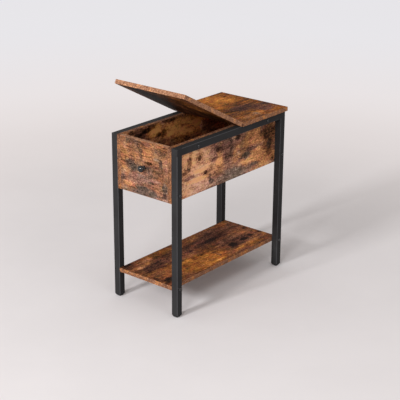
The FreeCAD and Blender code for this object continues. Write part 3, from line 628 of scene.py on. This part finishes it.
# %% Left side of the box, seen from inside
side_left_clouds_and_shade = [
    (44, 50, 112, 30, 0.4, 1.2, -1.5), (-125, 62, 32, 20, 0.34, 1.2, -1.5),
    # The patch at (200, 40), towards the back of the wall, is a painted shadow of the lid and the
    # fixed top, not print.
    (-222, 78, 44, 20, -0.1, 0.0, 0.1), (200, 40, 50, 70, -0.3, -0.2, 0.0),
    # The long band at (20, 2), halfway up the wall, is painted shade inside the box, not print.
    (20, 2, 220, 20, -0.2, 0.0, 0.0), (-180, 70, 36, 26, -0.14, 0.0, 0.0),
]
side_left_flecks = [
    (-78, 50, 18, 15, -0.4, 0.2, 0), (-104, 50, 12, 9, -0.3, 0, 0), (-166, 78, 20, 9, -0.36, 0, 0),
    (-140, 84, 20, 9, -0.36, 0, 0), (-210, 70, 26, 9, -0.3, 0, 0), (-240, 88, 16, 8, -0.3, 0, 0),
    (38, 55, 20, 4, -0.3, 0, 0), (139, 34, 22, 18, -0.2, -1.2, 0),
    (-26, 68, 32, 10, 0.1, 0.0, -0.6), (-45, 88, 34, 7, -0.34, 0, 0), (75, 40, 34, 4, -0.2, 0, 0),
    (-112, 66, 16, 8, 0.12, -0.3, -0.3),
]
side_left_eyes = [
    (-104, 52, 14, 0.5), (-150, -30, 27, 1.3), (52, -46, 32, 0.9), (-40, -22, 16, 1.0),
    (196, -34, 22, 1.2),
]
rustic_board(
    "side_panel_left", order="YZX", face=1, seed=31,
    clouds=side_left_clouds_and_shade, flecks=side_left_flecks, eyes=side_left_eyes,
    look=(0.2, 0.1, 0.15, 0.85, 0.98), band=(-0.17, 0.0),
)
print("left side:", len(side_left_clouds_and_shade), "clouds and", len(side_left_flecks), "flecks")

# %% Lid, whose underside shows
lid_clouds = [
    (-100, -80, 90, 46, -0.26, -0.5, 0.4), (20, -100, 90, 40, -0.26, -0.2, 0.1),
    (-60, 90, 90, 30, 0.1, 0.3, 0.0), (60, 10, 60, 30, 0.04, 0.0, 0.0),
    (90, 90, 60, 40, -0.16, 0.2, 0.1), (-120, 40, 40, 20, -0.1, -0.4, 0.1),
]
lid_flecks = [
    (-110, 128, 40, 7, 0.12, -0.6, 0), (-20, -30, 40, 10, -0.16, 0, 0),
    (40, 50, 30, 8, -0.12, 0, 0), (-70, 60, 40, 8, -0.12, 0.4, 0.1), (120, -20, 40, 10, -0.1, 0, 0),
]
rustic_board(
    "lid_panel", order="YXZ", face=-1, seed=40,
    clouds=lid_clouds, flecks=lid_flecks,
    eyes=[(-20, 40, 12, 0.7)],
    look=(-0.22, 0.1, 0.0, 0.9, 1.0), band=(0.04, -0.15), turn=LID_ANGLE,
)
print("lid:", len(lid_clouds), "clouds and", len(lid_flecks), "flecks")

# %% Back and bottom of the box
plain_clouds = [
    (-70, 30, 50, 40, 0.12, 0.4, 0.0), (40, -20, 60, 34, -0.14, -0.4, 0.3),
    (80, 60, 40, 26, 0.1, 0.0, 0.0),
]
plain_flecks = [
    (-60, 20, 14, 26, -0.3, 0, 0.2), (30, 60, 30, 8, -0.24, 0, 0), (66, -40, 12, 10, -0.3, 0, 0.2),
]
rustic_board(
    "back_panel", order="XZY", face=1, seed=52,
    clouds=plain_clouds, flecks=plain_flecks,
    eyes=[(-40, -50, 14, 0.9), (60, 30, 18, 1.0)],
    look=(0.04, 0.0, 0.1, 1.0, 0.95), band=(0.0, 0.0),
)
rustic_board(
    "compartment_floor", order="YXZ", face=1, seed=61,
    clouds=plain_clouds, flecks=plain_flecks,
    eyes=[(-180, -40, 18, 1.0), (90, 60, 14, 0.9)],
    look=(0.0, 0.2, 0.0, 1.0, 1.1), band=(0.0, 0.0),
)
prints = [material for material in bpy.data.materials if material.name.startswith("rustic_")]
print("boards with a print of their own:", len(prints))

# %% [markdown]
# ## Powder coated tube
# The two frames are sprayed with a dry powder that melts into a thin, slightly grainy skin. Its
# black is a charcoal, and its shine is faint. The welds at the mitred corners are ground flush, so
# that only a faint low line crosses the corner. A fine noise gives the grain, a slow one the
# handling marks and a third one specks of dust, and the distance from each mitre's plane gives that
# line. The tube's rounded arrises are drawn paler, a painted highlight where they would catch the
# light.

# %% Powder coat
rail_low, rail_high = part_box("top_rail_right")
TUBE_HALF = (rail_high.x - rail_low.x) / 2
MITRE_LINE, MITRE_CORE = 0.7 * MM, 0.1 * MM
ARRIS_HIGHLIGHT_INNER, ARRIS_HIGHLIGHT_OUTER = 1.9 * MM, 0.9 * MM
COAT_GRAIN, COAT_PATCH, COAT_DUST = (1500, 3, 0.6), (9, 5, 0.65), (420, 3, 0.8)
DUST_EDGE = (0.68, 0.78)
CHARCOALS = tone(47, 46, 47), tone(53, 53, 54)
# The middle colour is a painted highlight, laid along the tube's rounded arrises.
DUST, ARRIS_HIGHLIGHT, SEAM = tone(96, 95, 96), tone(92, 92, 96), tone(30, 29, 30)
DUST_SHARE, ARRIS_HIGHLIGHT_SHARE, SEAM_SHARE = 0.25, 0.6, 0.3
GRAIN_RELIEF, SEAM_RELIEF = 0.6, 0.8
COAT_RELIEF = 0.12 * MM
COAT_ROUGHNESS, PATCH_ROUGHNESS, GRAIN_ROUGHNESS = 0.42, 0.2, 0.1
COAT_SHINE = 0.01


def powder_coat():
    finish = new_finish("powder_coat")
    point = finish.place()
    x, y, z = finish.axes(point)
    drop = rail_high.z - z
    front_seam = (y - rail_low.y - drop).size()
    back_seam = (rail_high.y - y - drop).size()
    seam = front_seam.math("MINIMUM", back_seam).ramp(MITRE_LINE, MITRE_CORE)
    beside = (x.size() - (rail_low.x + rail_high.x) / 2).size()
    front_leg = (y - rail_low.y - TUBE_HALF).size()
    back_leg = (rail_high.y - TUBE_HALF - y).size()
    rail = (drop - TUBE_HALF).size()
    around = front_leg.math("MINIMUM", back_leg).math("MINIMUM", rail)
    # Painted highlight: a paler band along the rounded arrises, where they would catch the light.
    arris_highlight = beside.math("MINIMUM", around).ramp(TUBE_HALF - ARRIS_HIGHLIGHT_INNER, TUBE_HALF - ARRIS_HIGHLIGHT_OUTER)
    fine = finish.noise(point, *COAT_GRAIN)
    patch = finish.noise(point, *COAT_PATCH)
    dust = finish.noise(point, *COAT_DUST).ramp(*DUST_EDGE)
    colour = finish.blend(patch.ramp(*PATCH_EDGE), *CHARCOALS)
    colour = finish.blend(dust * DUST_SHARE, colour, DUST)
    colour = finish.blend(arris_highlight * ARRIS_HIGHLIGHT_SHARE, colour, ARRIS_HIGHLIGHT)
    colour = finish.blend(seam * SEAM_SHARE, colour, SEAM)
    roughness = COAT_ROUGHNESS + (patch - 0.5) * PATCH_ROUGHNESS + (fine - 0.5) * GRAIN_ROUGHNESS
    finish.surface(
        Base_Color=colour,
        Roughness=roughness,
        Specular_IOR_Level=COAT_SHINE,
        Normal=finish.bump(fine * GRAIN_RELIEF - seam * SEAM_RELIEF, COAT_RELIEF),
    )
    return finish.owner


print("tube is", round(2 * TUBE_HALF / MM), "mm square")


# %% Coat the tubes
def dress(material, *names):
    """Gives these CAD solids a finish."""
    for name in names:
        nodes[name].data.materials[0] = material


tubes = [name for name in nodes if name.startswith(("leg_front", "leg_back", "top_rail"))]
dress(powder_coat(), *tubes)
print("coated:", sorted(tubes))

# %% [markdown]
# ## Moulded plastic, lacquer and plating
# The glides and rail plugs are matt black plastic with a spark-eroded texture. The knob is die cast
# and lacquered to a deep gloss. The frame bolts and hinges are blackened steel, and the fittings
# inside are zinc plated, apart from the dowels of bare beech. Each finish is one noise for the skin
# and one for wear, in its own measure.

# %% The small finishes
SKIN_DETAIL, WEAR_DETAIL = (3, 0.6), (4, 0.65)
WEAR_SPREAD = 12


def small_finish(name, dark, light, roughness, spread, scale, depth, metallic=0.0, shine=0.5):
    """A finish whose colour drifts from dark to light, with a fine skin of that scale and depth."""
    finish = new_finish(name)
    point = finish.place()
    skin = finish.noise(point, scale, *SKIN_DETAIL)
    patch = finish.noise(point, scale / WEAR_SPREAD, *WEAR_DETAIL)
    finish.surface(
        Base_Color=finish.blend(patch.ramp(*PATCH_EDGE), dark, light),
        Roughness=roughness + (patch - 0.5) * spread,
        Normal=finish.bump(skin, depth * MM),
        Metallic=metallic,
        Specular_IOR_Level=shine,
    )
    return finish.owner


print("wear is drawn", WEAR_SPREAD, "times as broad as the skin")

# %% Plastic, lacquer, blackened steel, zinc and beech
PLASTIC = small_finish(
    "moulded_plastic", tone(30, 30, 31), tone(40, 40, 41),
    roughness=0.6, spread=0.15, scale=1800, depth=0.06, shine=0.2,
)
LACQUER = small_finish(
    "gloss_lacquer", tone(2, 2, 2), tone(4, 4, 4),
    roughness=0.05, spread=0.02, scale=900, depth=0.001, shine=0.65,
)
LEAF = small_finish(
    "blackened_leaf", tone(44, 41, 39), tone(58, 54, 51),
    roughness=0.4, spread=0.2, scale=1400, depth=0.04, metallic=0.6,
)
OXIDE = small_finish(
    "black_oxide", tone(26, 26, 28), tone(38, 38, 40),
    roughness=0.14, spread=0.08, scale=1200, depth=0.02, shine=0.6,
)
PLATING = small_finish(
    "zinc_plating", tone(176, 180, 186), tone(204, 206, 210),
    roughness=0.34, spread=0.2, scale=700, depth=0.03, metallic=1.0,
)
BEECH = small_finish(
    "bare_beech", tone(190, 152, 106), tone(214, 180, 136),
    roughness=0.65, spread=0.1, scale=800, depth=0.1,
)
print("small finishes:", len((PLASTIC, LACQUER, LEAF, OXIDE, PLATING, BEECH)))

# %% Dress the small pieces
dress(PLASTIC, *[name for name in nodes if name.startswith("foot_")], "rail_plugs")
dress(LACQUER, "knob")
dress(LEAF, *[name for name in nodes if name.startswith("hinge_")])
dress(OXIDE, "shelf_bolts", "leg_panel_bolts", "rail_panel_bolts")
dress(PLATING, "knob_screw", "top_screws", "shelf_inserts", "panel_inserts")
dress(PLATING, "cam_locks", "cam_bolts")
dress(BEECH, "dowels")
finishes = sorted({nodes[name].data.materials[0].name for name in nodes})
print("finishes in use:", finishes)

# %% [markdown]
# ## The studio
# The table stands on a wide, pale floor of matt paper. A soft key lamp straight in front, low
# enough to throw the box's shadow well behind the table, models the forms. A second one beside it
# softens the far edge of that shadow, a wide third one at the right lights the long side, and a
# pale sky gives the rest. They add up to about the level at which a colour looks as it was written.
# Far from the table the floor would fall into shade, so there it gives off its own pale colour to
# the camera and to reflections, but lights nothing.

# %% Floor
FLOOR_RADIUS, FLOOR_CORNERS = 14.0, 96
FLOOR_CLOUD, FLOOR_GRAIN = (2.2, 4, 0.6), (900, 2, 0.5)
FLOOR_TONES = tone(225, 223, 226), tone(228, 226, 229)
FLOOR_ROUGHNESS, FLOOR_SHINE = 0.9, 0.1
FLOOR_RELIEF, FLOOR_STRENGTH = 0.05 * MM, 0.3
GLOW_EDGE, GLOW_SHARE = (0.45, 2.8), 0.85
GLOW_FADE = (1.2, 4.5)
GLOW_TONES = tone(239, 230, 228), tone(238, 237, 241)


def floor_finish():
    finish = new_finish("studio_floor")
    point = finish.place()
    away = finish.vector("LENGTH", point, (0, 0, 0), out="Value")
    cloud = finish.noise(point, *FLOOR_CLOUD).ramp(*PATCH_EDGE)
    near = finish.blend(cloud, *FLOOR_TONES)
    fine = finish.noise(point, *FLOOR_GRAIN)
    finish.surface(
        Base_Color=near,
        Roughness=FLOOR_ROUGHNESS,
        Specular_IOR_Level=FLOOR_SHINE,
        Normal=finish.bump(fine, FLOOR_RELIEF, FLOOR_STRENGTH),
    )
    pale = finish.blend(away.ramp(*GLOW_FADE), *GLOW_TONES)
    glow = finish.node("ShaderNodeEmission", None, {"Color": pale, "Strength": 1.0})
    share = finish.seen() * away.ramp(*GLOW_EDGE) * GLOW_SHARE
    lit = Value(finish, finish.shader.outputs[0])
    both = finish.node("ShaderNodeMixShader", None, {0: share, 1: lit, 2: glow})
    finish.put(finish.tree.nodes["Material Output"].inputs["Surface"], both)
    return finish.owner


bpy.ops.object.select_all(action="DESELECT")
bpy.ops.mesh.primitive_circle_add(vertices=FLOOR_CORNERS, radius=FLOOR_RADIUS, fill_type="NGON")
floor = bpy.context.object
floor.name = "studio_floor"
floor.data.materials.append(floor_finish())
print("floor radius", FLOOR_RADIUS, "m")

# %% Lamps
AIM = Vector((0.0, 0.0, 0.35))


def add_lamp(name, place, size, power, colour):
    bpy.ops.object.light_add(type="AREA", location=place)
    lamp = bpy.context.object
    lamp.name = name
    lamp.data.size = size
    lamp.data.energy = power
    lamp.data.color = colour
    lamp.rotation_euler = (AIM - Vector(place)).to_track_quat("-Z", "Y").to_euler()


add_lamp("key_lamp", (-0.63, -7.22, 3.73), size=1.2, power=400, colour=(1.0, 0.985, 0.97))
add_lamp("fill_lamp", (2.03, -5.58, 4.06), size=1.5, power=120, colour=(1.0, 0.98, 0.97))
add_lamp("side_lamp", (4.8, -1.0, 2.6), size=2.4, power=24, colour=(1.0, 0.975, 0.965))

# %% Sky
SKY_LIGHT, SKY_SEEN = 0.58, 1.0
SKY_TONES = tone(242, 236, 231), tone(238, 236, 238)


def sky():
    finish = Finish(bpy.data.worlds.new("studio_sky"), "Background")
    seen = finish.seen()
    strength = seen * (SKY_SEEN - SKY_LIGHT) + SKY_LIGHT
    colour = finish.blend(seen, *SKY_TONES)
    finish.surface(Color=colour, Strength=strength)
    return finish.owner


bpy.context.scene.world = sky()
bpy.context.scene.view_settings.view_transform = "Standard"
print("sky gives", SKY_LIGHT, "and looks", SKY_SEEN)
